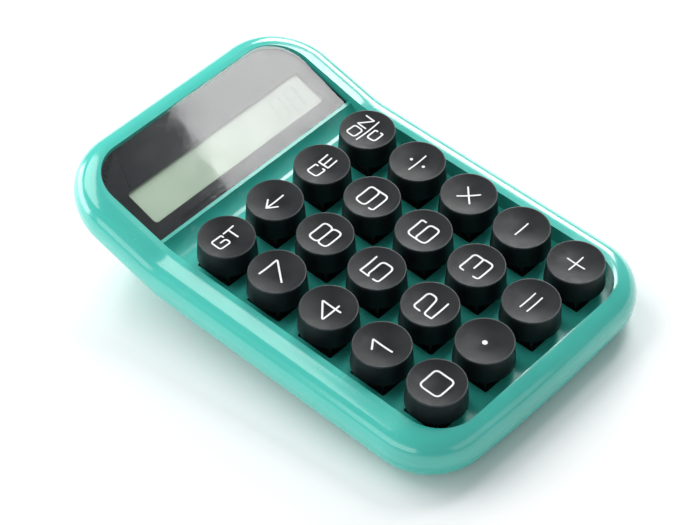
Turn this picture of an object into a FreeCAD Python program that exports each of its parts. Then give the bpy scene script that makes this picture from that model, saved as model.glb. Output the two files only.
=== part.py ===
import FreeCAD, Part
import math
import os
import Sketcher

# Desk calculator with twenty round mechanical keys and a tilted display.
#
# All lengths are millimetres and all angles are degrees.  Most pieces are drawn in the
# "deck frame": x to the right, y towards the display, z square to the key deck, with the
# origin at the centre of the key grid and level with the rim around the deck.  place()
# then leans every piece back by the deck's tilt and lifts it to its height above the desk.
# The part's own frame has +Z up, +Y towards the display and its origin on the desk, under
# the middle of the object.

doc = FreeCAD.newDocument("desk_calculator")
sheet = doc.addObject("Spreadsheet::Sheet", "Sizes")


# ---------------------------------------------------------------- driving dimensions

class Dim:
    """A number that also carries the spreadsheet formula it comes from."""

    def __init__(self, value, text):
        self.value = value
        self.text = text

    def __add__(self, other):
        other = dim(other)
        return Dim(self.value + other.value, "(%s + %s)" % (self.text, other.text))

    def __sub__(self, other):
        other = dim(other)
        return Dim(self.value - other.value, "(%s - %s)" % (self.text, other.text))

    def __mul__(self, other):
        other = dim(other)
        return Dim(self.value * other.value, "(%s * %s)" % (self.text, other.text))

    def __truediv__(self, other):
        other = dim(other)
        return Dim(self.value / other.value, "(%s / %s)" % (self.text, other.text))

    def __neg__(self):
        return Dim(-self.value, "(0 - %s)" % self.text)

    def __radd__(self, other):
        return dim(other) + self

    def __rsub__(self, other):
        return dim(other) - self

    def __rmul__(self, other):
        return dim(other) * self


def dim(number):
    """Wrap a plain number so that it can be mixed with sheet dimensions."""
    if isinstance(number, Dim):
        return number
    return Dim(float(number), "%.6g" % number)


def sine(angle):
    return Dim(math.sin(math.radians(angle.value)), "sin(%s)" % angle.text)


def cosine(angle):
    return Dim(math.cos(math.radians(angle.value)), "cos(%s)" % angle.text)


def tangent(angle):
    return Dim(math.tan(math.radians(angle.value)), "tan(%s)" % angle.text)


def size(name, value, note):
    """Add one driving dimension to the sheet and return it."""
    size.row += 1
    sheet.set("A%d" % size.row, name)
    sheet.set("B%d" % size.row, str(value))
    sheet.set("C%d" % size.row, note)
    sheet.setAlias("B%d" % size.row, name)
    return Dim(float(value), "Sizes." + name)


size.row = 0

pitch = size("pitch", 26.4, "distance between neighbouring keys")
drawn_pitch = size("drawn_pitch", 26.4, "pitch at which the case has the sizes below")

# The case and its tray grow with the key grid.
grow_side = (pitch - drawn_pitch) * 1.5
grow_end = (pitch - drawn_pitch) * 2.0

tilt = size("tilt", 5.3, "lean of the key deck from the desk")
case_width = size("case_width", 132.1, "overall width")
case_front = size("case_front", 77.3, "front face from the key grid's centre") + grow_end
case_rear = size("case_rear", 128.0, "rear face from the key grid's centre") + grow_end
front_corner = size("front_corner", 26.0, "outer corner radius in plan, near the user")
rear_corner = size("rear_corner", 29.0, "outer corner radius in plan, behind the display")
front_bow = size("front_bow", 1.8, "how far the front face bows out in its middle")
rim_roll = size("rim_roll", 9.5, "radius rolling the rim over into the side")
base_roll = size("base_roll", 8.8, "radius rolling the side under")
case_depth = size("case_depth", 20.8, "thickness of the case")
seam_depth = size("seam_depth", 10.8, "seam between the case halves below the rim")
wall = size("wall", 2.0, "moulded wall thickness")
tray_half = size("tray_half", 54.1, "half width of the key tray") + grow_side
tray_front = size("tray_front", 68.9, "front wall of the tray from the grid's centre") + grow_end
tray_corner = size("tray_corner", 16.5, "corner radius of the tray in plan")
tray_depth = size("tray_depth", 7.4, "tray floor below the rim")
floor_thick = size("floor_thick", 1.5, "thickness of the tray floor")
bend_at = size("bend_at", 68.8, "where the rim starts to rise beside the display") + grow_end
rim_rise = size("rim_rise", 13.8, "angle of the rim beside the display")
bend_low = size("bend_low", 66.5, "where the underside starts to rise under the display") + grow_end
panel_low = size("panel_low", 76.5, "lower edge of the display panel") + grow_end
panel_high = size("panel_high", 116.4, "upper edge of the display panel") + grow_end
panel_drop = size("panel_drop", 1.6, "lower panel edge below the key rim")
panel_rise = size("panel_rise", 18.2, "angle of the display panel to the deck")
window_width = size("window_width", 95.0, "width of the display window")
window_height = size("window_height", 16.7, "height of the display window")
window_low = size("window_low", 7.0, "window above the panel's lower edge")
key_rise = size("key_rise", 7.8, "key tops above the rim")
cap_height = size("cap_height", 10.0, "height of a keycap")
cap_top = size("cap_top", 11.1, "radius of a keycap at the top")
cap_foot = size("cap_foot", 11.75, "radius of a keycap at the skirt")
dish = size("dish", 1.2, "depth of the dished key top")
travel = size("travel", 4.0, "key travel")
well = size("well", 16.9, "square opening in the floor around each switch")
foot_height = size("foot_height", 2.0, "feet below the case")
cell_length = size("cell_length", 44.5, "battery length with its nub")
cell_diameter = size("cell_diameter", 10.5, "battery diameter")

half_width = case_width / 2.0 + grow_side
plate_top = -(tray_depth + floor_thick)
plate_thick = 1.5
board_top = plate_top - 5.0
board_thick = 1.6
gap = 0.3



def above_zero(value):
    """The value where it is positive, and nothing where it is not."""
    return Dim(max(0.0, value.value), "max(0; %s)" % value.text)


def underside(v):
    """Height of the case's underside in the deck frame."""
    return tangent(rim_rise) * above_zero(dim(v) - bend_low) - case_depth


def seam(v):
    """Height of the seam between the two case halves in the deck frame."""
    return tangent(rim_rise) * above_zero(dim(v) - bend_low) - seam_depth


def rim(v):
    """Height of the rim in the deck frame."""
    return tangent(rim_rise) * above_zero(dim(v) - bend_at)


def panel(v, depth=0.0):
    """Height of a surface parallel to the display panel, some depth below it."""
    return tangent(panel_rise) * (v - panel_low) - panel_drop - dim(depth) / cosine(panel_rise)


front_foot = -(case_front - 17.5)
deck_height = foot_height + case_depth * cosine(tilt) - front_foot * sine(tilt)
reach_front = (case_front - rim_roll) * cosine(tilt) - rim_roll * sine(tilt) + rim_roll
rear_roll = case_rear - base_roll
rear_level = underside(rear_roll) + base_roll / cosine(rim_rise)
reach_rear = rear_roll * cosine(tilt) - rear_level * sine(tilt) + base_roll
deck_shift = (reach_front - reach_rear) / 2.0


def row_y(v, w):
    """Depth in the part's frame of a point of the deck frame."""
    return deck_shift + v * cosine(tilt) - w * sine(tilt)


def row_z(v, w):
    """Height above the desk of a point of the deck frame."""
    return deck_height + v * sine(tilt) + w * cosine(tilt)


def deck_v(y, z):
    """Distance up the deck of a point of the part's frame."""
    return (y - deck_shift) * cosine(tilt) + (z - deck_height) * sine(tilt)


def deck_w(y, z):
    """Height over the deck of a point of the part's frame."""
    return (z - deck_height) * cosine(tilt) - (y - deck_shift) * sine(tilt)


# ---------------------------------------------------------------- drawing helpers

def bind(thing, prop, value):
    """Drive one property from the sheet."""
    thing.setExpression(prop, dim(value).text)


def new_body(name):
    return doc.addObject("PartDesign::Body", name)


def plane(body, role):
    for feature in body.Origin.OriginFeatures:
        if feature.Role == role:
            return feature


def new_sketch(body, name, role, offset):
    sketch = body.newObject("Sketcher::SketchObject", name)
    sketch.AttachmentSupport = (plane(body, role), [""])
    sketch.MapMode = "FlatFace"
    bind(sketch, "AttachmentOffset.Base.z", offset)
    return sketch


def pin_point(sketch, geometry, point, x, y):
    """Dimension one sketch point from the sketch's origin."""
    for kind, value in (("DistanceX", dim(x)), ("DistanceY", dim(y))):
        index = sketch.addConstraint(Sketcher.Constraint(kind, geometry, point, value.value))
        label = "%s_%d_%d" % (kind, geometry, point)
        sketch.renameConstraint(index, label)
        sketch.setExpression("Constraints." + label, value.text)


def outline(body, name, role, points, offset=0.0, arcs=None):
    """Closed sketch through the points; arcs maps an edge's number to its centre."""
    arcs = arcs or {}
    sketch = new_sketch(body, name, role, offset)
    spots = [FreeCAD.Vector(dim(x).value, dim(y).value, 0) for x, y in points]
    ends = []
    for i in range(len(points)):
        start = spots[i]
        end = spots[(i + 1) % len(points)]
        if i not in arcs:
            sketch.addGeometry(Part.LineSegment(start, end))
            ends.append((1, 2))
            continue
        centre = FreeCAD.Vector(dim(arcs[i][0]).value, dim(arcs[i][1]).value, 0)
        turn = (start - centre).cross(end - centre).z
        first, last = (start, end) if turn > 0 else (end, start)
        angle_a = math.atan2(first.y - centre.y, first.x - centre.x)
        angle_b = math.atan2(last.y - centre.y, last.x - centre.x)
        circle = Part.Circle(centre, FreeCAD.Vector(0, 0, 1), (start - centre).Length)
        sketch.addGeometry(Part.ArcOfCircle(circle, angle_a, angle_b))
        ends.append((1, 2) if turn > 0 else (2, 1))
    for i in range(len(points)):
        following = (i + 1) % len(points)
        sketch.addConstraint(Sketcher.Constraint("Coincident", i, ends[i][1], following, ends[following][0]))
    for i, (x, y) in enumerate(points):
        pin_point(sketch, i, ends[i][0], x, y)
    for i in arcs:
        chord = spots[(i + 1) % len(points)] - spots[i]
        kind, value = ("DistanceY", arcs[i][1]) if abs(chord.x) > abs(chord.y) else ("DistanceX", arcs[i][0])
        index = sketch.addConstraint(Sketcher.Constraint(kind, i, 3, dim(value).value))
        sketch.renameConstraint(index, "centre_%d" % i)
        sketch.setExpression("Constraints.centre_%d" % i, dim(value).text)
    return sketch


def box_points(x_low, x_high, y_low, y_high):
    return [(x_low, y_low), (x_high, y_low), (x_high, y_high), (x_low, y_high)]


def square_points(x, y, x_centre=0.0, y_centre=0.0):
    """Corners of a rectangle given its half sizes and its centre."""
    x, y, x_centre, y_centre = dim(x), dim(y), dim(x_centre), dim(y_centre)
    return box_points(x_centre - x, x_centre + x, y_centre - y, y_centre + y)


def circle(body, name, role, x, y, radius, offset=0.0):
    sketch = new_sketch(body, name, role, offset)
    centre = FreeCAD.Vector(dim(x).value, dim(y).value, 0)
    sketch.addGeometry(Part.Circle(centre, FreeCAD.Vector(0, 0, 1), dim(radius).value))
    pin_point(sketch, 0, 3, x, y)
    index = sketch.addConstraint(Sketcher.Constraint("Radius", 0, dim(radius).value))
    sketch.renameConstraint(index, "radius")
    sketch.setExpression("Constraints.radius", dim(radius).text)
    return sketch


def pad(body, sketch, length, both_ways=False, down=False, taper=0.0):
    feature = body.newObject("PartDesign::Pad", sketch.Name + "_pad")
    feature.Profile = sketch
    bind(feature, "Length", length)
    if both_ways:
        feature.SideType = "Symmetric"
    feature.Reversed = down
    feature.TaperAngle = taper
    doc.recompute()
    return feature


def pocket(body, sketch, length, both_ways=False, up=False):
    feature = body.newObject("PartDesign::Pocket", sketch.Name + "_pocket")
    feature.Profile = sketch
    bind(feature, "Length", length)
    if both_ways:
        feature.SideType = "Symmetric"
    feature.Reversed = up
    doc.recompute()
    return feature


def revolve(body, sketch, axis):
    feature = body.newObject("PartDesign::Revolution", sketch.Name + "_turn")
    feature.Profile = sketch
    feature.ReferenceAxis = (sketch, [axis])
    feature.Angle = 360.0
    doc.recompute()
    return feature


def middle(edge):
    return edge.valueAt((edge.FirstParameter + edge.LastParameter) / 2.0)


def along(edge):
    return edge.tangentAt((edge.FirstParameter + edge.LastParameter) / 2.0)


def round_edges(body, radius, wanted):
    """Fillet every edge of the body for which wanted(middle, direction, edge) holds."""
    base = body.Tip
    names = []
    for i, edge in enumerate(base.Shape.Edges):
        if wanted(middle(edge), along(edge), edge):
            names.append("Edge%d" % (i + 1))
    feature = body.newObject("PartDesign::Fillet", body.Name + "_round_%d" % len(body.Group))
    feature.Base = (base, names)
    bind(feature, "Radius", radius)
    doc.recompute()
    return feature


def upright(spot, direction, edge):
    return abs(direction.z) > 0.999


def block(name, role, points, length, offset=0.0, both_ways=False, down=False, arcs=None):
    """A body that is one extruded outline."""
    body = new_body(name)
    pad(body, outline(body, name + "_outline", role, points, offset, arcs), length, both_ways, down)
    return body


def rod(name, x, y, z_low, z_high, radius):
    """A round bar square to the deck."""
    body = new_body(name)
    pad(body, circle(body, name + "_circle", "XY_Plane", x, y, radius, z_low), dim(z_high) - z_low)
    return body


def cut(name, base, tool):
    result = doc.addObject("Part::Cut", name)
    result.Base = base
    result.Tool = tool
    doc.recompute()
    return result


def fuse(name, shapes):
    result = doc.addObject("Part::MultiFuse", name)
    result.Shapes = shapes
    result.Refine = True
    doc.recompute()
    return result


def group(name, members):
    result = doc.addObject("Part::Compound", name)
    result.Links = members
    doc.recompute()
    return result


def copy_at(source, name, x=0.0, y=0.0, z=0.0):
    """A linked copy of a piece at another spot."""
    link = doc.addObject("App::Link", name)
    link.LinkedObject = source
    link.LinkTransform = False
    bind(link, "Placement.Base.x", x)
    bind(link, "Placement.Base.y", y)
    bind(link, "Placement.Base.z", z)
    return link


def key_spots():
    """Centre of every key in the deck frame, left to right and far row first."""
    return [((column - 1.5) * pitch, (2 - line) * pitch) for line in range(5) for column in range(4)]


def on_key_grid(source, name, z=0.0):
    """Twenty linked copies, one at each key."""
    links = []
    for i, (x, y) in enumerate(key_spots()):
        links.append(copy_at(source, "%s_%d" % (source.Name, i), x, y, z))
    return group(name, links)


def place(piece, x=0.0, v=0.0, w=0.0, lean=0.0):
    """Move a piece from the deck frame into the part's frame, leaning with the deck."""
    angle = tilt + lean
    piece.Placement = FreeCAD.Placement(FreeCAD.Vector(0, 0, 0),
                                        FreeCAD.Rotation(FreeCAD.Vector(1, 0, 0), angle.value))
    piece.setExpression("Placement.Rotation.Angle", "%s * 1 deg" % angle.text)
    bind(piece, "Placement.Base.x", x)
    bind(piece, "Placement.Base.y", row_y(dim(v), dim(w)))
    bind(piece, "Placement.Base.z", row_z(dim(v), dim(w)))


nodes = []


def node(piece, label):
    """Name one finished sub-part."""
    piece.Label = label
    nodes.append(piece)
    return piece


# ---------------------------------------------------------------- case halves

def case_slab(name, side, inset, roll, roll_top):
    """Case outline in plan with a given side view, rolled over along its top or bottom."""
    body = new_body(name)
    half = half_width - inset
    front = dim(inset) - case_front
    rear = case_rear - inset
    pad(body, outline(body, name + "_side", "YZ_Plane", side), half * 2.0, both_ways=True)
    chord = half - front_corner * 0.6
    bow_radius = (chord * chord + front_bow * front_bow) / (front_bow * 2.0)
    bow_points = [(-chord, front + front_bow), (chord, front + front_bow), (half + 9.0, front + front_bow),
                  (half + 9.0, front - 9.0), (-half - 9.0, front - 9.0), (-half - 9.0, front + front_bow)]
    bow = outline(body, name + "_bow", "XY_Plane", bow_points, arcs={0: (0.0, front + bow_radius)})
    pocket(body, bow, 200.0, both_ways=True)
    bend = bend_at.value if roll_top else bend_low.value
    face = 0.0 if roll_top else -case_depth.value

    def at_bend(spot, direction, edge):
        return abs(direction.x) > 0.999 and abs(spot.y - bend) < 0.5 and abs(spot.z - face) < inset + 0.5

    def at_front_corner(spot, direction, edge):
        return upright(spot, direction, edge) and abs(spot.x) > half.value - 0.01 and spot.y < 0.0

    def at_rear_corner(spot, direction, edge):
        return upright(spot, direction, edge) and abs(spot.x) > half.value - 0.01 and spot.y > 0.0

    def at_rim(spot, direction, edge):
        crosswise = abs(direction.x) > 0.999 and front.value + 3.0 < spot.y < rear.value - 1.0
        level = rim(spot.y).value - inset if roll_top else underside(spot.y).value + inset
        return abs(spot.z - level) < 0.6 and not crosswise

    round_edges(body, 30.0, at_bend)
    round_edges(body, front_corner - inset, at_front_corner)
    round_edges(body, rear_corner - inset, at_rear_corner)
    round_edges(body, roll, at_rim)
    return body


def top_side(inset, below):
    """Side view of the upper half, from some way below the seam up to the rim."""
    front = dim(inset) - case_front
    rear = case_rear - inset
    return [(front, seam(front) - below), (bend_low, seam(bend_low) - below), (rear, seam(rear) - below),
            (rear, rim(rear) - inset), (bend_at, dim(-inset)), (front, dim(-inset))]


def tray_cut(name, grow, floor, seat):
    """Everything that is hollow above the key deck and the display panel."""
    front = -(tray_front + grow)
    rear = panel_high + 0.1 + grow
    sky = 40.0
    toe = panel_low - 4.4 - grow * 0.5
    lip = panel_low - 1.4
    step = panel_low - 0.1
    if grow:
        side = [(front, floor), (toe, floor), (panel_low + 1.5, panel(panel_low + 1.5, seat)),
                (rear, panel(rear, seat)), (rear, dim(sky)), (front, dim(sky))]
    else:
        side = [(front, floor), (toe, floor), (lip, panel(lip)), (step, panel(step)),
                (step, panel(step, seat)), (rear, panel(rear, seat)), (rear, dim(sky)), (front, dim(sky))]
    body = new_body(name)
    pad(body, outline(body, name + "_side", "YZ_Plane", side), (tray_half + grow) * 2.0, both_ways=True)
    toe_spot = toe.value

    def at_toe(spot, direction, edge):
        return abs(direction.x) > 0.999 and abs(spot.y - toe_spot) < 0.01

    def at_corner(spot, direction, edge):
        ends = abs(spot.y - front.value) < 0.01 or abs(spot.y - rear.value) < 0.01
        return upright(spot, direction, edge) and ends

    if not grow:
        round_edges(body, 9.5, at_toe)
    round_edges(body, tray_corner + grow, at_corner)
    return body


lens_thick = 1.5
mask_thick = 0.3
seat_depth = lens_thick + mask_thick
bezel_thick = 2.0

outer_top = case_slab("OuterTop", top_side(0.0, 0.0), 0.0, rim_roll, True)
inner_top = case_slab("InnerTop", top_side(wall.value, 1.0), wall.value, rim_roll - wall, True)
tray = tray_cut("Tray", 0.0, -tray_depth, seat_depth)
tray_wall = tray_cut("TrayWall", wall.value, plate_top, seat_depth + bezel_thick)
hollow_top = cut("HollowTop", inner_top, tray_wall)

switch_well = block("SwitchWell", "XY_Plane", square_points(well / 2.0, well / 2.0), 8.0, plate_top - 4.0)
round_edges(switch_well, 0.8, upright)
switch_wells = on_key_grid(switch_well, "SwitchWells")

window_top = window_low + window_height
lcd_bay = new_body("LcdBay")
lcd_half = window_width / 2.0 + 2.5
pad(lcd_bay, outline(lcd_bay, "LcdBay_outline", "XY_Plane",
                     box_points(-lcd_half, lcd_half, window_low - 2.5, window_top + 2.5), -6.0), 6.0)
lcd_bay.Placement = FreeCAD.Placement(FreeCAD.Vector(0, 0, 0),
                                      FreeCAD.Rotation(FreeCAD.Vector(1, 0, 0), 1.0))
lcd_bay.setExpression("Placement.Rotation.Angle", "%s * 1 deg" % panel_rise.text)
bind(lcd_bay, "Placement.Base.y", panel_low)
bind(lcd_bay, "Placement.Base.z", -panel_drop)

# Six case screws: four between the keys and two in front of the display.
screw_spots = [(i * pitch, j * 1.5 * pitch) for i in (-1.0, 1.0) for j in (-1.0, 1.0)]
screw_spots += [(i * 1.5 * pitch, panel_low - 7.5) for i in (-1.0, 1.0)]
boss_end = board_top - board_thick - 0.8
seat_level = boss_end - 2.0
shank = 1.25
bosses = []
boss_holes = []
for i, (x, y) in enumerate(screw_spots):
    bosses.append(rod("Boss%d" % i, x, y, boss_end, plate_top + 0.4, 3.0))
    boss_holes.append(rod("BossHole%d" % i, x, y, boss_end - 1.0, plate_top - 0.6, shank + gap))

# Four posts under the floor carry the circuit board.
board_spots = [(dim(0.0), j * pitch) for j in (-1.5, -0.5, 0.5, 1.5)]
for i, (x, y) in enumerate(board_spots):
    bosses.append(rod("BoardPost%d" % i, x, y, board_top, plate_top + 0.4, 2.6))
    boss_holes.append(rod("BoardPostHole%d" % i, x, y, board_top - 1.0, plate_top - 0.6, 1.0 + gap))

top_hollows = fuse("TopHollows", [tray, hollow_top])
top_shell = cut("TopShell", outer_top, top_hollows)
top_blank = fuse("TopBlank", [top_shell] + bosses)
top_openings = group("TopOpenings", [switch_wells, lcd_bay] + boss_holes)
top_case = cut("TopCase", top_blank, top_openings)
place(top_case)
node(top_case, "top_case")

# The lower half stands back a hair from the upper one, so the seam shows as a fine step.
step_back = 0.2


def bottom_side(inset, above):
    """Side view of the lower half, from the underside up to some way above the seam."""
    front = dim(inset) - case_front
    rear = case_rear - inset
    return [(front, underside(front) + inset), (bend_low, underside(bend_low) + inset),
            (rear, underside(rear) + inset), (rear, seam(rear) + above),
            (bend_low, seam(bend_low) + above), (front, seam(front) + above)]


outer_bottom = case_slab("OuterBottom", bottom_side(step_back, 0.0), step_back, base_roll, False)
inner_bottom = case_slab("InnerBottom", bottom_side(wall.value + step_back, 1.0), wall.value + step_back,
                         base_roll - wall, False)

# The pedestal under the display holds the batteries.  Its battery bay and its door stand
# square to the desk: they are drawn in the part's own frame and turned by to_deck().
pedestal_half = size("pedestal_half", 42.0, "half width of the battery pedestal")
pedestal_wall = 4.0
door_thick = 1.8
bay_half = cell_length / 2.0 + 4.2
bay_depth = cell_diameter * 2.0 + 1.4
bay_front = row_y(panel_low + 6.0, underside(panel_low + 6.0))
bay_rear = bay_front + bay_depth
bay_low = foot_height + door_thick + 0.2
bay_high = bay_low + cell_diameter + 0.8
pedestal_front = bay_front - pedestal_wall
pedestal_rear = bay_rear + pedestal_wall


def to_deck(piece):
    """Turn a piece drawn in the part's frame back into the deck frame."""
    piece.Placement = FreeCAD.Placement(FreeCAD.Vector(0, 0, 0),
                                        FreeCAD.Rotation(FreeCAD.Vector(-1, 0, 0), tilt.value))
    piece.setExpression("Placement.Rotation.Angle", "%s * 1 deg" % tilt.text)
    bind(piece, "Placement.Base.y", -(deck_shift * cosine(tilt) + deck_height * sine(tilt)))
    bind(piece, "Placement.Base.z", deck_shift * sine(tilt) - deck_height * cosine(tilt))
    return piece


def desk_box(name, x_low, x_high, y_low, y_high, z_low, z_high):
    """A box square to the desk."""
    return block(name, "XY_Plane", box_points(dim(x_low), dim(x_high), dim(y_low), dim(y_high)),
                 dim(z_high) - z_low, z_low)


def pedestal_block(name, x_low, x_high, inset, level, into_case):
    """A block from a level over the desk up into the sloping underside."""
    front = deck_v(pedestal_front + inset, dim(level))
    rear = deck_v(pedestal_rear - inset, dim(level))
    side = [(front, deck_w(pedestal_front + inset, dim(level))),
            (rear, deck_w(pedestal_rear - inset, dim(level))),
            (rear, underside(rear) + into_case), (front, underside(front) + into_case)]
    body = new_body(name)
    pad(body, outline(body, name + "_side", "YZ_Plane", side, x_low), dim(x_high) - x_low)
    return body


def on_pedestal_base(spot, direction, edge):
    return abs(row_z(dim(spot.y), dim(spot.z)).value - foot_height.value) < 0.01


pedestal = pedestal_block("Pedestal", -pedestal_half, pedestal_half, 0.0, foot_height, 1.0)
round_edges(pedestal, 8.0, upright)
round_edges(pedestal, 1.0, on_pedestal_base)
battery_bay = desk_box("BatteryBay", -bay_half, bay_half, bay_front, bay_rear, foot_height - 1.0, bay_high)
rooms = [pedestal_block("RoomLeft", -(pedestal_half - wall), -(bay_half + 4.4), wall.value,
                        foot_height + 3.5, 4.0),
         pedestal_block("RoomRight", bay_half + 4.4, pedestal_half - wall, wall.value,
                        foot_height + 3.5, 4.0),
         pedestal_block("RoomTop", -bay_half, bay_half, wall.value, bay_high + 1.6, 4.0)]

# The door slides back out of the pedestal on a lip along each side.
door_half = bay_half + 1.0
lip_half = door_half + 1.5
lip_low = foot_height + 0.8


def door_points(slack):
    """Front view of the door: a flat cover with a lip along each side."""
    low, step, high = foot_height - slack * 10.0, lip_low - slack, foot_height + door_thick + slack
    body_half, edge_half = door_half + slack, lip_half + slack
    return [(-body_half, low), (body_half, low), (body_half, step), (edge_half, step), (edge_half, high),
            (-edge_half, high), (-edge_half, step), (-body_half, step)]


door_front = bay_front - 1.0
door_way = block("DoorWay", "XZ_Plane", door_points(0.1), pedestal_rear - door_front + 5.0,
                 -(door_front - 0.1), down=True)

foot_radius = 5.5
foot_spots = [(i * (half_width - 22.0), row_y(front_foot, underside(front_foot))) for i in (-1.0, 1.0)]
foot_spots += [(i * (pedestal_half - 7.0), (pedestal_front + pedestal_rear) / 2.0) for i in (-1.0, 1.0)]
foot_holes = [rod("FootHole%d" % i, x, y, -1.0, foot_height + 1.0, foot_radius + gap)
              for i, (x, y) in enumerate(foot_spots)]

for piece in [battery_bay, door_way] + foot_holes:
    to_deck(piece)

posts = []
post_holes = []
for i, (x, y) in enumerate(screw_spots):
    posts.append(rod("Post%d" % i, x, y, underside(y) + 0.5, boss_end, 4.2))
    post_holes.append(rod("PostHole%d" % i, x, y, seat_level - 1.0, boss_end + 1.0, shank + gap))
    post_holes.append(rod("HeadHole%d" % i, x, y, underside(y) - 5.0, seat_level, 2.5 + gap))

bottom_blank = fuse("BottomBlank", [outer_bottom, pedestal])
bottom_shell = cut("BottomShell", bottom_blank, fuse("BottomHollows", [inner_bottom] + rooms))
bottom_ribbed = fuse("BottomRibbed", [bottom_shell] + posts)
bottom_openings = group("BottomOpenings", [battery_bay, door_way] + foot_holes + post_holes)
bottom_case = cut("BottomCase", bottom_ribbed, bottom_openings)
place(bottom_case)
node(bottom_case, "bottom_case")

# ---------------------------------------------------------------- base fittings

foot = rod("Foot", 0.0, 0.0, 0.0, foot_height + 1.0, foot_radius)
round_edges(foot, 0.5, lambda spot, direction, edge: spot.z < 0.01)
rubber_feet = group("RubberFeet", [copy_at(foot, "Foot_at_%d" % i, x, y)
                                   for i, (x, y) in enumerate(foot_spots)])
node(rubber_feet, "rubber_feet")

battery_door = block("BatteryDoor", "XZ_Plane", door_points(0.0), pedestal_rear - door_front,
                     -door_front, down=True)
grip = outline(battery_door, "Grip", "XY_Plane",
               square_points(8.0, 0.5, 0.0, pedestal_rear - 4.0), foot_height + 0.5)
grip_cut = pocket(battery_door, grip, 2.0)
grip_row = battery_door.newObject("PartDesign::LinearPattern", "GripRow")
grip_row.Originals = [grip_cut]
grip_row.Direction = (plane(battery_door, "Y_Axis"), [""])
grip_row.Reversed = True
grip_row.Length = 8.0
grip_row.Occurrences = 5
battery_door.Tip = grip_row
doc.recompute()
node(battery_door, "battery_door")

cell = new_body("Cell")
can_radius = cell_diameter / 2.0 - 0.1
can_end = cell_length / 2.0 - 1.2
cell_points = [(-(cell_length / 2.0) + 0.3, 0.0), (-(cell_length / 2.0) + 0.3, 3.6),
               (-(cell_length / 2.0) + 0.6, can_radius), (can_end, can_radius), (can_end, 1.9),
               (cell_length / 2.0, 1.9), (cell_length / 2.0, 0.0)]
revolve(cell, outline(cell, "Cell_profile", "XZ_Plane", [(dim(x), dim(y)) for x, y in cell_points]),
        "H_Axis")
cell_level = bay_low + cell_diameter / 2.0 + 0.3
cell_lines = [bay_front + cell_diameter / 2.0 + 0.3, bay_rear - cell_diameter / 2.0 - 0.3]
aaa_cells = group("AaaCells", [copy_at(cell, "Cell_at_%d" % i, 0.0, y, cell_level)
                               for i, y in enumerate(cell_lines)])
aaa_cells.Links[1].Placement = FreeCAD.Placement(FreeCAD.Vector(0, 0, 0),
                                                 FreeCAD.Rotation(FreeCAD.Vector(0, 0, 1), 180))
doc.recompute()
node(aaa_cells, "aaa_cells")


def coil(name, mean_radius, wire_radius, height, turns):
    """A coil spring standing on z = 0."""
    body = new_body(name)
    wire = circle(body, name + "_wire", "XZ_Plane", mean_radius, wire_radius, wire_radius)
    helix = body.newObject("PartDesign::AdditiveHelix", name + "_helix")
    helix.Profile = wire
    helix.ReferenceAxis = (wire, ["V_Axis"])
    helix.Mode = "height-turns-angle"
    bind(helix, "Height", dim(height) - 2.0 * wire_radius)
    helix.Turns = turns
    doc.recompute()
    return body


leaf = block("ContactLeaf", "YZ_Plane", square_points(4.4, 4.2), 0.4)
leaf_spring = coil("ContactSpring", 2.9, 0.25, 2.6, 3)
leaves = []
for i, y in enumerate(cell_lines):
    for side in (-1.0, 1.0):
        turned = 0 if side < 0 else 180
        link = copy_at(leaf, "Leaf_%d_%d" % (i, side + 1), side * bay_half, y, cell_level)
        link.Placement = FreeCAD.Placement(FreeCAD.Vector(0, 0, 0),
                                           FreeCAD.Rotation(FreeCAD.Vector(0, 0, 1), turned))
        leaves.append(link)
    side = -1.0 if i == 0 else 1.0
    link = copy_at(leaf_spring, "LeafSpring_%d" % i, side * (bay_half - 0.5), y, cell_level)
    link.Placement = FreeCAD.Placement(FreeCAD.Vector(0, 0, 0),
                                       FreeCAD.Rotation(FreeCAD.Vector(0, 1, 0), -90 * side))
    leaves.append(link)
battery_contacts = group("BatteryContacts", leaves)
node(battery_contacts, "battery_contacts")

case_screw = rod("CaseScrew", 0.0, 0.0, 0.0, 7.0, shank)
pad(case_screw, circle(case_screw, "CaseScrew_head", "XY_Plane", 0.0, 0.0, 2.5), 1.7, down=True)
round_edges(case_screw, 0.5, lambda spot, direction, edge: spot.z < -1.69)
for i, points in enumerate((square_points(1.6, 0.3), square_points(0.3, 1.6))):
    pocket(case_screw, outline(case_screw, "CaseScrew_slot%d" % i, "XY_Plane", points, -1.7), 0.9, up=True)
case_screws = group("CaseScrews", [copy_at(case_screw, "CaseScrew_at_%d" % i, x, y, seat_level)
                                   for i, (x, y) in enumerate(screw_spots)])
place(case_screws)
node(case_screws, "case_screws")

# ---------------------------------------------------------------- circuit board and plate

def board(name, half, front, rear, level, thick, openings):
    """A flat sheet under the key deck with its openings."""
    blank = block(name + "Blank", "XY_Plane", box_points(-half, half, -front, rear), thick, level)
    round_edges(blank, 4.0, upright)
    result = cut(name, blank, group(name + "Openings", openings))
    place(result)
    return result


plate_hole = block("PlateHole", "XY_Plane", square_points(7.0, 7.0), 6.0, plate_top - 4.0)
plate_openings = [on_key_grid(plate_hole, "PlateHoles")]
plate_openings += [rod("PlateBoss%d" % i, x, y, plate_top - 4.0, plate_top + 2.0, 3.0 + gap)
                   for i, (x, y) in enumerate(screw_spots[:4])]
plate_openings += [rod("PlatePost%d" % i, x, y, plate_top - 4.0, plate_top + 2.0, 2.6 + gap)
                   for i, (x, y) in enumerate(board_spots)]
sheet_half = 2.0 * pitch - 0.6
sheet_end = 2.5 * pitch
switch_plate = board("SwitchPlate", sheet_half, sheet_end - 0.6, sheet_end - 0.6,
                     plate_top - plate_thick, plate_thick, plate_openings)
node(switch_plate, "switch_plate")

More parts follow.
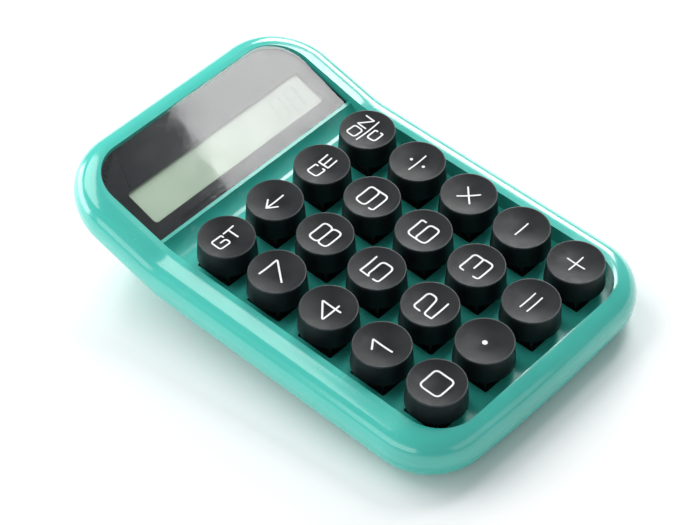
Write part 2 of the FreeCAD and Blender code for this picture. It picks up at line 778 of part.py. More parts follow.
# Each switch stands on the board with a round peg and two contact pins.
peg_radius = 1.95
pin_spots = [(-2.75, 4.7), (2.5, 4.7)]
drill = block("DrillPegs", "XY_Plane", square_points(0.75, 0.5, pin_spots[0][0], pin_spots[0][1]),
              4.0, board_top - 3.0)
pad(drill, outline(drill, "DrillPin", "XY_Plane",
                   square_points(0.75, 0.5, pin_spots[1][0], pin_spots[1][1]), board_top - 3.0), 4.0)
peg_drill = rod("PegDrill", 0.0, 0.0, board_top - 3.0, board_top + 1.0, peg_radius + gap)
board_openings = [on_key_grid(drill, "PinHoles"), on_key_grid(peg_drill, "PegHoles")]
board_openings += [rod("BoardBoss%d" % i, x, y, board_top - 4.0, board_top + 2.0, 3.0 + gap)
                   for i, (x, y) in enumerate(screw_spots[:4])]
board_openings += [rod("BoardScrewHole%d" % i, x, y, board_top - 4.0, board_top + 2.0, 1.0 + gap)
                   for i, (x, y) in enumerate(board_spots)]
main_pcb = board("MainBoard", sheet_half, sheet_end - 0.6, sheet_end - 0.6,
                 board_top - board_thick, board_thick, board_openings)
node(main_pcb, "main_pcb")

board_screw = rod("BoardScrew", 0.0, 0.0, 0.0, 5.6, 1.0)
pad(board_screw, circle(board_screw, "BoardScrew_head", "XY_Plane", 0.0, 0.0, 2.0), 1.3, down=True)
for i, points in enumerate((square_points(1.3, 0.25), square_points(0.25, 1.3))):
    pocket(board_screw, outline(board_screw, "BoardScrew_slot%d" % i, "XY_Plane", points, -1.3), 0.7,
           up=True)
pcb_screws = group("BoardScrews", [copy_at(board_screw, "BoardScrew_at_%d" % i, x, y,
                                           board_top - board_thick)
                                   for i, (x, y) in enumerate(board_spots)])
place(pcb_screws)
node(pcb_screws, "pcb_screws")

# ---------------------------------------------------------------- switches
#
# A switch is drawn with z = 0 on top of the plate.

housing_half = 6.95
lower = block("LowerHousing", "XY_Plane", square_points(7.8, 7.8), 1.0)
round_edges(lower, 0.6, upright)
pad(lower, outline(lower, "Lower_body", "XY_Plane", square_points(housing_half, housing_half)), 5.0, down=True)
pad(lower, circle(lower, "Lower_peg", "XY_Plane", 0.0, 0.0, peg_radius, -5.0), 2.6, down=True)
pocket(lower, outline(lower, "Lower_cavity", "XY_Plane", square_points(4.7, 3.9), 1.0), 4.8)
pocket(lower, circle(lower, "Lower_guide", "XY_Plane", 0.0, 0.0, 1.45, -3.8), 1.6)
for i, (x, y) in enumerate(pin_spots):
    pocket(lower, outline(lower, "Lower_slot%d" % i, "XY_Plane", square_points(1.55, 0.25, x, y), 1.0), 6.0)
lower_housings = on_key_grid(lower, "LowerHousings", plate_top)
place(lower_housings)
node(lower_housings, "switch_lower_housings")

blades = []
for i, (x, y) in enumerate(pin_spots):
    shape = [(x - 1.5, -5.0), (x - 0.6, -5.0), (x - 0.6, -8.0), (x + 0.6, -8.0), (x + 0.6, -5.0),
             (x + 1.5, -5.0), (x + 1.5, 0.8), (x - 1.5, 0.8)]
    blades.append(block("Blade%d" % i, "XZ_Plane", shape, 0.4, -(y + 0.2)))
blades = group("Blades", blades)
contacts = on_key_grid(blades, "Contacts", plate_top)
place(contacts)
node(contacts, "switch_contacts")

upper = new_body("UpperHousing")
pad(upper, outline(upper, "Upper_body", "XY_Plane", square_points(housing_half, housing_half), 1.0), 5.6,
    taper=-13.5)
round_edges(upper, 0.7, lambda spot, direction, edge: 1.5 < spot.z < 6.0)
round_edges(upper, 0.3, lambda spot, direction, edge: spot.z > 6.59)
upper_room = new_body("UpperRoom")
pad(upper_room, outline(upper_room, "UpperRoom_body", "XY_Plane", square_points(5.8, 5.8), 0.9), 4.5,
    taper=-13.5)
upper_mouth = block("UpperMouth", "XY_Plane", square_points(3.8, 3.05), 4.0, 4.0)
upper_hollow = cut("UpperHollow", upper, group("UpperOpenings", [upper_room, upper_mouth]))
upper_housings = on_key_grid(upper_hollow, "UpperHousings", plate_top)
place(upper_housings)
node(upper_housings, "switch_upper_housings")

spring_low = -3.8
stem_low = 2.6
spring = coil("Spring", 1.8, 0.14, stem_low - spring_low, 7)
springs = on_key_grid(spring, "Springs", plate_top + spring_low)
place(springs)
node(springs, "switch_springs")

neck_top = 6.9
cross_height = 3.6
stem = block("Stem", "XY_Plane", square_points(4.4, 3.6), 2.7, stem_low)
pad(stem, outline(stem, "Stem_neck", "XY_Plane", square_points(3.5, 2.7), 5.3), neck_top - 5.3)
pad(stem, outline(stem, "Stem_bar", "XY_Plane", square_points(2.0, 0.65), neck_top), cross_height)
pad(stem, outline(stem, "Stem_cross", "XY_Plane", square_points(0.58, 2.0), neck_top), cross_height)
pad(stem, circle(stem, "Stem_pole", "XY_Plane", 0.0, 0.0, 1.2, -0.6), stem_low + 0.6)
round_edges(stem, 0.4, lambda spot, direction, edge: spot.z < -0.59)

# ---------------------------------------------------------------- keycaps
#
# A cap is drawn with z = 0 at its rim.  Its post sits on the stem's neck.

dish_edge = cap_top - 0.35
dish_radius = (dish_edge * dish_edge + dish * dish) / (dish * 2.0)
cap_post = key_rise - plate_top - neck_top
cap_roof = dish + 2.0
skin = 1.3
cap_inner = cap_foot - skin
cap = new_body("Cap")
cap_points = [(0.0, -dish), (dish_edge, 0.0), (cap_top - 0.05, -0.05), (cap_top, -0.35),
              (cap_foot, -cap_height + 0.3), (cap_foot - 0.3, -cap_height), (cap_inner, -cap_height),
              (cap_inner - 0.5, -cap_roof), (2.75, -cap_roof), (2.75, -cap_post), (0.0, -cap_post)]
revolve(cap, outline(cap, "Cap_profile", "XZ_Plane", [(dim(x), dim(y)) for x, y in cap_points],
                     arcs={0: (0.0, dish_radius - dish)}), "V_Axis")
pocket(cap, outline(cap, "Cap_socket_bar", "XY_Plane", square_points(2.05, 0.7), -cap_post),
       cross_height + 0.1,
       up=True)
pocket(cap, outline(cap, "Cap_socket_cross", "XY_Plane", square_points(0.63, 2.05), -cap_post),
       cross_height + 0.1, up=True)

key_names = ["grand_total", "backspace", "clear_entry", "on_clear",
             "seven", "eight", "nine", "divide",
             "four", "five", "six", "multiply",
             "one", "two", "three", "minus",
             "zero", "point", "equals", "plus"]
for name, (x, y) in zip(key_names, key_spots()):
    for kind, source, level in (("keycap", cap, key_rise), ("stem", stem, plate_top)):
        piece = group("%s_%s_piece" % (kind, name), [copy_at(source, "%s_%s_copy" % (kind, name))])
        place(piece, x, y, level)
        node(piece, "%s_%s" % (kind, name))

# ---------------------------------------------------------------- display
#
# The pieces below are drawn in the panel's frame: y up the panel from its lower edge and
# z square to it.

def panel_sheet(name, depth, thick):
    """A sheet that fills the display recess at some depth, drawn in the deck frame."""
    low, high, half = dim(panel_low), dim(panel_high), tray_half - 0.1
    side = [(low - 5.0, panel(low - 5.0, depth + thick)), (high + 5.0, panel(high + 5.0, depth + thick)),
            (high + 5.0, panel(high + 5.0, depth)), (low - 5.0, panel(low - 5.0, depth))]
    layer = block(name + "Layer", "YZ_Plane", side, half * 2.0 + 10.0, both_ways=True)
    shape = block(name + "Outline", "XY_Plane", box_points(-half, half, low, high), 40.0, -20.0)
    far_end = high.value
    round_edges(shape, tray_corner - 0.1,
                lambda spot, direction, edge: upright(spot, direction, edge) and abs(spot.y - far_end) < 0.01)
    result = doc.addObject("Part::Common", name)
    result.Base = layer
    result.Tool = shape
    doc.recompute()
    return result


display_lens = panel_sheet("DisplayLens", 0.0, lens_thick)
place(display_lens)
node(display_lens, "display_lens")

window = block("Window", "XY_Plane",
               box_points(-window_width / 2.0, window_width / 2.0, window_low, window_top), 8.0, -6.0)
round_edges(window, 1.6, upright)
window.Placement = FreeCAD.Placement(FreeCAD.Vector(0, 0, 0), FreeCAD.Rotation(FreeCAD.Vector(1, 0, 0), 1.0))
window.setExpression("Placement.Rotation.Angle", "%s * 1 deg" % panel_rise.text)
bind(window, "Placement.Base.y", panel_low)
bind(window, "Placement.Base.z", -panel_drop)
display_mask = cut("DisplayMask", panel_sheet("MaskSheet", lens_thick, mask_thick), window)
place(display_mask)
node(display_mask, "display_mask")

glass_top = -seat_depth - 0.8
glass_thick = 2.0
bezel_back = -seat_depth - bezel_thick
glass_half = lcd_half - 0.5
glass_low = window_low - 2.0
glass_high = window_top + 2.0


def on_panel(piece):
    """Move a piece from the panel's frame into the part's frame."""
    place(piece, 0.0, panel_low, -panel_drop, panel_rise)


lcd_glass = block("LcdGlass", "XY_Plane", box_points(-glass_half, glass_half, glass_low, glass_high),
                  glass_thick, glass_top - glass_thick)
on_panel(lcd_glass)
node(lcd_glass, "lcd_glass")

frame_half = lcd_half + 1.6
frame_low = window_low - 4.2
frame_high = window_top + 4.2
lcd_frame = block("LcdFrame", "XY_Plane", box_points(-frame_half, frame_half, frame_low, frame_high),
                  bezel_back - glass_top + glass_thick + 1.5, glass_top - glass_thick - 1.5)
round_edges(lcd_frame, 1.0, upright)
pocket(lcd_frame, outline(lcd_frame, "LcdFrame_bay", "XY_Plane",
                          box_points(-glass_half - 0.1, glass_half + 0.1, glass_low - 0.1, glass_high + 0.1),
                          bezel_back), bezel_back - glass_top + glass_thick)
pocket(lcd_frame, outline(lcd_frame, "LcdFrame_back", "XY_Plane",
                          box_points(-glass_half + 3.0, glass_half - 3.0, glass_low + 2.0, glass_high - 2.0),
                          bezel_back), 12.0)
on_panel(lcd_frame)
node(lcd_frame, "lcd_frame")

frame_back = glass_top - glass_thick - 1.5
display_board = block("DisplayBoard", "XY_Plane",
                      box_points(-glass_half + 1.0, glass_half - 1.0, frame_low + 1.0, frame_high), 1.2,
                      frame_back - 1.2)
round_edges(display_board, 1.0, upright)
on_panel(display_board)
node(display_board, "display_board")

# A flat ribbon runs from the display board down to the main board.
ribbon_top = frame_back - 1.2
ribbon_thick = 0.3
ribbon_depth = -ribbon_top
ribbon_path = [(panel_low + 12.0, panel(panel_low + 12.0, ribbon_depth)),
               (panel_low + 7.5, panel(panel_low + 7.5, ribbon_depth)),
               (panel_low + 3.0, board_top + 3.0),
               (panel_low - 3.0, board_top + 0.8),
               (sheet_end + 0.5, board_top + ribbon_thick),
               (sheet_end - 4.0, board_top + ribbon_thick)]
ribbon_side = ribbon_path + [(v, w - ribbon_thick) for v, w in reversed(ribbon_path)]
display_cable = block("DisplayCable", "YZ_Plane", ribbon_side, 18.0, both_ways=True)
place(display_cable)
node(display_cable, "display_cable")

# ---------------------------------------------------------------- write the files

doc.recompute()
os.makedirs("parts", exist_ok=True)
for piece in doc.Objects:
    if "Invalid" in piece.State or "Error" in piece.State:
        raise RuntimeError("%s did not rebuild" % piece.Label)
for piece in nodes:
    shape = piece.Shape
    if shape.isNull() or not shape.isValid() or not shape.Solids:
        raise RuntimeError("%s is not a sound solid" % piece.Label)
    shape.exportStep("parts/%s.step" % piece.Label)
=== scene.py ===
import math

import bmesh
import bpy
from mathutils import Matrix, Vector


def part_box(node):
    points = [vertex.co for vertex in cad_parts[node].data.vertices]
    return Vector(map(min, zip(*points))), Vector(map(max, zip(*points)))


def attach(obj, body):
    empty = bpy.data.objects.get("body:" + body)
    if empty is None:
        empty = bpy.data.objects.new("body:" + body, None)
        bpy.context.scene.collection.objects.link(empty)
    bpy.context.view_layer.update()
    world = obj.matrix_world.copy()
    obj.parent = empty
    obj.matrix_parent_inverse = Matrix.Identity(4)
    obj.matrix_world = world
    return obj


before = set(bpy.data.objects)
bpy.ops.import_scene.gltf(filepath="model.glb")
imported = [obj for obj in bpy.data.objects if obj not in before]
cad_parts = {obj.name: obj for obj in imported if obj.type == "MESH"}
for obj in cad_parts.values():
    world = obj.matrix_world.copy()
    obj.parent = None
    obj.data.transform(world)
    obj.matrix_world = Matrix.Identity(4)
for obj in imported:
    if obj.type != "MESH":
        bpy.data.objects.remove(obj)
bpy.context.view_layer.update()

# Looks for the desk calculator.  The CAD nodes keep their shapes and get materials here, and
# this script adds what is printed on them: the key legends, the faint digits of the liquid
# crystal and the arrow on the battery door.
#
# Lengths are metres, unless a name ends in _MM.  Strokes are drawn in millimetres, because
# that keeps their points readable; inked() turns them into metres.

MM = 0.001

KEY_ROWS = [
    ["grand_total", "backspace", "clear_entry", "on_clear"],
    ["seven", "eight", "nine", "divide"],
    ["four", "five", "six", "multiply"],
    ["one", "two", "three", "minus"],
    ["zero", "point", "equals", "plus"],
]
KEY_NAMES = [name for row in KEY_ROWS for name in row]

# Outline of a keycap, as radius and height over its top edge.
CAP_PROFILE_MM = [(10.75, 0.0), (11.05, -0.05), (11.1, -0.35), (11.75, -9.7), (11.45, -10.0)]
DISH_EDGE_MM = 10.75
DISH_DEPTH_MM = 1.2
DISH_RADIUS_MM = (DISH_EDGE_MM ** 2 + DISH_DEPTH_MM ** 2) / (2.0 * DISH_DEPTH_MM)


# ---------------------------------------------------------------- where things are

def box_centre(node):
    low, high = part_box(node)
    return (low + high) / 2.0


grid_step = box_centre("keycap_grand_total") - box_centre("keycap_zero")
DECK_TILT = math.atan2(grid_step.z, grid_step.y)
PITCH = grid_step.length / (len(KEY_ROWS) - 1)


def cap_box_offset():
    """From the middle of a cap's top edge to the middle of its box, in the row frame."""
    ys = []
    zs = []
    for radius, height in CAP_PROFILE_MM:
        for side in (-1.0, 1.0):
            ys.append(side * radius * math.cos(DECK_TILT) - height * math.sin(DECK_TILT))
            zs.append(side * radius * math.sin(DECK_TILT) + height * math.cos(DECK_TILT))
    return Vector((0.0, (max(ys) + min(ys)) / 2.0, (max(zs) + min(zs)) / 2.0)) * MM


def deck_frame(point):
    """Axes of the leaning deck at a point: +Z leaves the key tops, +Y goes to the display."""
    return Matrix.Translation(point) @ Matrix.Rotation(DECK_TILT, 4, "X")


def key_frame(name):
    """Deck axes at the middle of a keycap's top edge."""
    return deck_frame(box_centre("keycap_" + name) - cap_box_offset())


grid_centre = (key_frame("five").translation + key_frame("six").translation) / 2.0


def dish_height(x, y):
    """Height of the dished key top over its edge, in millimetres."""
    return DISH_RADIUS_MM - DISH_DEPTH_MM - math.sqrt(DISH_RADIUS_MM ** 2 - x * x - y * y)


# ---------------------------------------------------------------- materials

class Finish:
    """A material, with short ways to add nodes to it."""

    def __init__(self, name, **sockets):
        self.material = bpy.data.materials.new(name)
        self.material.use_nodes = True
        self.tree = self.material.node_tree
        self.shader = self.tree.nodes["Principled BSDF"]
        self.place = self.add("ShaderNodeTexCoord", output="Object")
        for socket, value in sockets.items():
            self.feed(socket.replace("_", " "), value)

    def link(self, value, socket):
        if isinstance(value, bpy.types.NodeSocket):
            self.tree.links.new(value, socket)
        else:
            socket.default_value = value

    def feed(self, socket, value):
        """Set one input of the Principled shader."""
        self.link(value, self.shader.inputs[socket])

    def add(self, kind, inputs=None, output=0, **settings):
        node = self.tree.nodes.new(kind)
        for setting, value in settings.items():
            setattr(node, setting, value)
        for socket, value in (inputs or {}).items():
            self.link(value, node.inputs[socket])
        return node.outputs[output]

    def noise(self, size, detail=2.0, stretch=(1.0, 1.0, 1.0), at=None):
        """Noise from 0 to 1 with blobs of about that size, drawn out along the stretched axes."""
        scaled = self.add("ShaderNodeMapping", {"Vector": at or self.place,
                                                "Scale": [1.0 / s for s in stretch]})
        return self.add("ShaderNodeTexNoise", {"Vector": scaled, "Scale": 1.0 / size,
                                               "Detail": detail})

    def cells(self, size, output="Distance", at=None, stretch=(1.0, 1.0, 1.0)):
        scaled = self.add("ShaderNodeMapping", {"Vector": at or self.place,
                                                "Scale": [1.0 / s for s in stretch]})
        return self.add("ShaderNodeTexVoronoi", {"Vector": scaled, "Scale": 1.0 / size},
                        output=output)

    def sum(self, operation, first, second=0.0, third=0.0):
        return self.add("ShaderNodeMath", {0: first, 1: second, 2: third}, operation=operation)

    def spread(self, value, low, high, start=0.0, end=1.0):
        """Map low..high to start..end, smoothly and without going past either."""
        return self.add("ShaderNodeMapRange", {"Value": value, "From Min": low, "From Max": high,
                                               "To Min": start, "To Max": end},
                        interpolation_type="SMOOTHSTEP")

    def blend(self, share, first, second):
        """Mix two colours."""
        node = self.tree.nodes.new("ShaderNodeMix")
        node.data_type = "RGBA"
        self.link(share, node.inputs[0])
        for value, index in ((first, 6), (second, 7)):
            if not isinstance(value, bpy.types.NodeSocket):
                value = (*value, 1.0)
            self.link(value, node.inputs[index])
        return node.outputs[2]

    def bump(self, height, depth, under=None):
        """Relief of that depth in metres, on top of another relief."""
        inputs = {"Height": height, "Distance": depth, "Strength": 1.0}
        if under is not None:
            inputs["Normal"] = under
        return self.add("ShaderNodeBump", inputs, output="Normal")


def shade(colour, factor):
    return tuple(min(1.0, part * factor) for part in colour)


def moulded(name, colour, roughness, grain=0.00025, depth=0.000004, mottle=0.06,
            smudge=0.08, **sockets):
    """Injection-moulded plastic: faint flow marks, a fine surface grain and handled patches."""
    finish = Finish(name, **sockets)
    flow = finish.noise(0.045, 3.0, stretch=(1.0, 2.2, 1.0))
    specks = finish.spread(finish.cells(0.0035), 0.0, 0.10, 1.0, 0.0)
    base = finish.blend(finish.spread(flow, 0.3, 0.7), shade(colour, 1.0 - mottle),
                        shade(colour, 1.0 + mottle))
    finish.feed("Base Color", finish.blend(finish.sum("MULTIPLY", specks, 0.10), base,
                                           shade(colour, 0.6)))
    touched = finish.spread(finish.noise(0.016, 4.0), 0.42, 0.68)
    scuffs = finish.spread(finish.noise(0.0011, 2.0, stretch=(9.0, 1.0, 1.0)), 0.60, 0.78)
    rough = finish.sum("MULTIPLY_ADD", touched, smudge, roughness)
    finish.feed("Roughness", finish.sum("MULTIPLY_ADD", scuffs, smudge, rough))
    skin = finish.bump(finish.noise(grain, 3.0), depth)
    finish.feed("Normal", finish.bump(finish.noise(0.011, 2.0), 0.00002, skin))
    return finish


def metal(name, colour, roughness, brushed=(1.0, 12.0, 1.0), tarnish=0.25):
    """Bare or plated metal with fine draw marks and dull patches."""
    finish = Finish(name, Metallic=1.0)
    marks = finish.noise(0.0003, 3.0, stretch=brushed)
    dull = finish.spread(finish.noise(0.004, 4.0), 0.40, 0.75)
    finish.feed("Base Color", finish.blend(finish.sum("MULTIPLY", dull, tarnish), colour,
                                           shade(colour, 0.45)))
    rough = finish.sum("MULTIPLY_ADD", marks, 0.14, roughness)
    finish.feed("Roughness", finish.sum("MULTIPLY_ADD", dull, 0.15, rough))
    finish.feed("Normal", finish.bump(marks, 0.000003))
    return finish


def grid_place(finish):
    """Coordinates square to the deck, with their origin amid the key tops."""
    turn = Matrix.Rotation(-DECK_TILT, 3, "X")
    return finish.add("ShaderNodeMapping", {"Vector": finish.place,
                                            "Location": -(turn @ grid_centre),
                                            "Rotation": (-DECK_TILT, 0.0, 0.0)})


def from_key_axis(finish):
    """Distance from the axis of the nearest key, and height over its top edge."""
    local = grid_place(finish)
    shifted = finish.add("ShaderNodeVectorMath", {0: local, 1: (1.0 / PITCH,) * 3,
                                                  2: (0.0, 0.5, 0.0)}, operation="MULTIPLY_ADD")
    cell = finish.add("ShaderNodeVectorMath", {0: shifted}, operation="FRACTION")
    offset = finish.add("ShaderNodeVectorMath", {0: cell, 1: (PITCH, PITCH, 0.0),
                                                 2: (-PITCH / 2.0, -PITCH / 2.0, 0.0)},
                        operation="MULTIPLY_ADD")
    radius = finish.add("ShaderNodeVectorMath", {0: offset}, output="Value", operation="LENGTH")
    height = finish.add("ShaderNodeSeparateXYZ", {0: local}, output="Z")
    return radius, height


def keycap_finish():
    """Satin charcoal: spark-eroded grain, soft smudges, and a lighter rim: finger wear plus
    painted highlight.
    """
    colour = (0.006, 0.008, 0.009)
    finish = Finish("charcoal_keycap", Specular_IOR_Level=0.2)
    radius, height = from_key_axis(finish)
    rim = finish.sum("MULTIPLY",
                     finish.spread(radius, 0.01035, 0.0109),
                     finish.spread(height, -0.0009, -0.0002))
    rim_breakup = finish.spread(finish.noise(0.0022, 3.0), 0.25, 0.75, 0.45, 1.0)
    # The rim band is painted lighter: partly finger wear, partly a painted highlight of the
    # rounded top edge.
    rim_wear_and_painted_highlight = finish.sum("MULTIPLY", rim, rim_breakup)
    cloud = finish.spread(finish.noise(0.009, 3.0), 0.3, 0.7)
    base = finish.blend(cloud, shade(colour, 0.85), shade(colour, 1.2))
    finish.feed("Base Color", finish.blend(rim_wear_and_painted_highlight, base, (0.05, 0.056, 0.06)))
    touched = finish.spread(radius, 0.0015, 0.009, 0.30, 0.40)
    smear = finish.spread(finish.noise(0.004, 4.0), 0.35, 0.7, -0.03, 0.05)
    rough = finish.sum("ADD", touched, smear)
    finish.feed("Roughness", finish.sum("MULTIPLY_ADD", rim, -0.10, rough))
    finish.feed("Normal", finish.bump(finish.noise(0.00022, 3.0), 0.000009))
    return finish


def board_finish(name):
    """Green solder mask over copper tracks, with a pale weave showing at the edges."""
    finish = Finish(name)
    local = grid_place(finish)
    tracks = finish.cells(0.0042, at=local, stretch=(1.0, 3.0, 1.0))
    copper = finish.spread(tracks, 0.47, 0.52)
    weave = finish.noise(0.0006, 1.0, at=local)
    mask = finish.blend(copper, (0.012, 0.075, 0.035), (0.028, 0.15, 0.06))
    finish.feed("Base Color", finish.blend(finish.spread(weave, 0.62, 0.72, 0.0, 0.35), mask,
                                           (0.10, 0.22, 0.11)))
    finish.feed("Roughness", finish.spread(finish.noise(0.006, 3.0), 0.3, 0.7, 0.24, 0.38))
    finish.feed("Normal", finish.bump(copper, 0.00003, finish.bump(weave, 0.000008)))
    return finish


def cell_finish():
    """A dry cell: printed wrap with a copper band, and bare metal ends."""
    finish = Finish("cell_wrap", Metallic=0.6)
    across = finish.add("ShaderNodeSeparateXYZ", {0: finish.place}, output="X")
    along = finish.sum("ABSOLUTE", across)
    band = finish.sum("MULTIPLY", finish.spread(along, 0.0118, 0.0120),
                      finish.spread(along, 0.0192, 0.0194, 1.0, 0.0))
    ends = finish.spread(along, 0.0207, 0.0209)
    ink = finish.blend(finish.spread(finish.noise(0.002, 3.0), 0.3, 0.7), (0.020, 0.022, 0.026),
                       (0.034, 0.036, 0.042))
    wrap = finish.blend(band, ink, (0.58, 0.30, 0.14))
    finish.feed("Base Color", finish.blend(ends, wrap, (0.62, 0.62, 0.60)))
    finish.feed("Roughness", finish.spread(finish.noise(0.0015, 3.0), 0.3, 0.7, 0.22, 0.36))
    finish.feed("Normal", finish.bump(finish.noise(0.0005, 2.0), 0.000004))
    return finish


def ribbon_finish():
    """Amber flexible cable with copper lines under its skin."""
    finish = Finish("ribbon_cable")
    lines = finish.add("ShaderNodeTexWave", {"Vector": finish.place, "Scale": 320.0},
                       bands_direction="X")
    share = finish.spread(lines, 0.45, 0.6)
    finish.feed("Base Color", finish.blend(share, (0.42, 0.16, 0.03), (0.60, 0.30, 0.08)))
    finish.feed("Roughness", finish.spread(finish.noise(0.003, 3.0), 0.3, 0.7, 0.28, 0.42))
    finish.feed("Normal", finish.bump(share, 0.00001))
    return finish


def clear_window(name, tint, roughness):
    """A clear moulding: it lets light straight through and mirrors like acrylic."""
    finish = Finish(name)
    finish.tree.nodes.remove(finish.shader)
    facing_out = finish.sum("SUBTRACT", 1.0, finish.add("ShaderNodeNewGeometry",
                                                        output="Backfacing"))
    gloss_share = finish.sum("MULTIPLY", finish.add("ShaderNodeFresnel", {"IOR": 1.49}),
                             facing_out)
    hairlines = finish.noise(0.0009, 2.0, stretch=(14.0, 1.0, 1.0))
    haze = finish.spread(finish.noise(0.013, 4.0), 0.4, 0.7, roughness, roughness + 0.05)
    ripple = finish.bump(finish.noise(0.02, 2.0), 0.000012, finish.bump(hairlines, 0.0000006))
    gloss = finish.add("ShaderNodeBsdfGlossy", {"Roughness": haze, "Normal": ripple,
                                                "Color": (1.0, 1.0, 1.0, 1.0)})
    through = finish.add("ShaderNodeBsdfTransparent", {"Color": (*tint, 1.0)})
    mixed = finish.add("ShaderNodeMixShader", {0: gloss_share, 1: through, 2: gloss})
    finish.link(mixed, finish.tree.nodes["Material Output"].inputs["Surface"])
    return finish


def crystal_finish():
    """The liquid crystal cell: grey-green, with the fine dither of its rear polariser and painted
    shade darkening it towards the right.
    """
    finish = Finish("liquid_crystal", Roughness=0.35)
    across = finish.add("ShaderNodeSeparateXYZ", {0: finish.place}, output="X")
    # Painted shade: the crystal is painted lighter at its left end and darker towards its right
    # end.
    painted_shade_across = finish.spread(across, -0.05, 0.05)
    grain = finish.spread(finish.noise(0.00012, 1.0), 0.3, 0.7)
    base = finish.blend(painted_shade_across, (0.52, 0.64, 0.49), (0.38, 0.40, 0.36))
    finish.feed("Base Color", finish.blend(finish.sum("MULTIPLY", grain, 0.12), base,
                                           (0.40, 0.47, 0.38)))
    finish.feed("Roughness", finish.spread(finish.noise(0.01, 3.0), 0.3, 0.7, 0.30, 0.42))
    finish.feed("Normal", finish.bump(grain, 0.000002))
    return finish


MINT = (0.052, 0.525, 0.440)

FINISHES = {
    "top_case": moulded("mint_case_top", MINT, 0.19, Coat_Weight=0.9, Coat_Roughness=0.10),
    "bottom_case": moulded("mint_case_base", shade(MINT, 0.97), 0.19, Coat_Weight=0.30,
                           Coat_Roughness=0.08),
    "battery_door": moulded("mint_door", shade(MINT, 0.96), 0.22, Coat_Weight=0.20,
                            Coat_Roughness=0.10),
    "switch_plate": moulded("black_plate_paint", (0.010, 0.011, 0.012), 0.42, depth=0.00001),
    "switch_lower_housings": moulded("black_nylon_base", (0.010, 0.010, 0.011), 0.38),
    "switch_upper_housings": moulded("black_nylon_cover", (0.012, 0.012, 0.013), 0.26),
    "rubber_feet": moulded("grey_rubber", (0.045, 0.047, 0.050), 0.68, grain=0.0004,
                           depth=0.00003),
    "lcd_frame": moulded("white_diffuser", (0.62, 0.64, 0.62), 0.40),
    "display_mask": moulded("black_screen_print", (0.006, 0.009, 0.012), 0.22,
                            depth=0.0000015, smudge=0.04, Specular_IOR_Level=0.2),
    "stem": moulded("slate_stem", (0.16, 0.17, 0.18), 0.34),
    "keycap": keycap_finish(),
    "main_pcb": board_finish("main_board_mask"),
    "display_board": board_finish("display_board_mask"),
    "switch_springs": metal("spring_steel", (0.62, 0.62, 0.61), 0.22),
    "switch_contacts": metal("contact_bronze", (0.78, 0.52, 0.27), 0.26),
    "battery_contacts": metal("nickel_plate", (0.66, 0.64, 0.60), 0.24),
    "case_screws": metal("black_zinc_screw", (0.16, 0.16, 0.17), 0.32),
    "pcb_screws": metal("bright_zinc_screw", (0.55, 0.55, 0.56), 0.26),
    "aaa_cells": cell_finish(),
    "display_cable": ribbon_finish(),
    "lcd_glass": crystal_finish(),
    "display_lens": clear_window("acrylic_window", (0.95, 0.965, 0.96), 0.035),
}

for node_name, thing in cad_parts.items():
    family = node_name.split("_")[0]
    slot_name = family if family in ("keycap", "stem") else node_name
    thing.data.materials.clear()
    thing.data.materials.append(FINISHES[slot_name].material)


# ---------------------------------------------------------------- inked strokes

def polyline(points, corner, closed):
    """A path through the points, in short steps, with its corners rounded."""
    count = len(points)
    path = []
    for i, here in enumerate(points):
        here = Vector(here)
        if not closed and i in (0, count - 1):
            path.append(here)
            continue
        before = Vector(points[i - 1]) - here
        after = Vector(points[(i + 1) % count]) - here
        half_turn = before.angle(after) / 2.0
        reach = min(corner / math.tan(half_turn), before.length / 2.0, after.length / 2.0)
        start = here + before.normalized() * reach
        end = here + after.normalized() * reach
        for step in range(9):
            t = step / 8.0
            path.append(start * (1 - t) ** 2 + here * 2 * t * (1 - t) + end * t * t)
    if closed:
        path.append(path[0].copy())
    fine = [path[0]]
    for target in path[1:]:
        start = fine[-1].copy()
        steps = max(1, math.ceil((target - start).length / 0.6))
        fine += [start.lerp(target, (k + 1) / steps) for k in range(steps)]
    kept = [fine[0]]
    for point in fine[1:]:
        if (point - kept[-1]).length > 0.005:
            kept.append(point)
    return kept


def sections(path, half_width, closed):
    """Cross-sections of a stroke: centre, sideways direction and half width at each."""
    found = []
    last = len(path) - 1
    for i, here in enumerate(path):
        if closed:
            ahead = path[1] - path[0] if i == last else path[i + 1] - here
            behind = path[last] - path[last - 1] if i == 0 else here - path[i - 1]
        else:
            ahead = path[min(i + 1, last)] - path[min(i, last - 1)]
            behind = path[max(i, 1)] - path[max(i - 1, 0)]
        along = (ahead.normalized() + behind.normalized()).normalized()
        found.append((here, Vector((-along.y, along.x)), half_width))
    if closed:
        return found[:-1]
    round_steps = [math.radians(a) for a in (28, 52, 70, 84)]
    for end, sign in ((found[0], -1.0), (found[-1], 1.0)):
        here, side = end[:2]
        along = Vector((side.y, -side.x)) * sign
        tips = [(here + along * half_width * math.sin(a), side, half_width * math.cos(a))
                for a in round_steps]
        found = tips[::-1] + found if sign < 0 else found + tips
    return found


def add_stroke(mesh, cuts, closed, surface, top, bottom):
    """One thin closed solid along the cross-sections, laid on a surface."""
    rings = []
    for here, side, half in cuts:
        left = here + side * half
        right = here - side * half
        ring = []
        for spot, lift in ((left, top), (right, top), (right, -bottom), (left, -bottom)):
            height = surface(spot.x, spot.y) + lift
            ring.append(mesh.verts.new(Vector((spot.x, spot.y, height)) * MM))
        rings.append(ring)
    pairs = list(zip(rings, rings[1:] + rings[:1])) if closed else list(zip(rings, rings[1:]))
    for first, second in pairs:
        for k in range(4):
            n = (k + 1) % 4
            mesh.faces.new((first[k], first[n], second[n], second[k]))
    if not closed:
        mesh.faces.new(rings[0][::-1])
        mesh.faces.new(rings[-1])


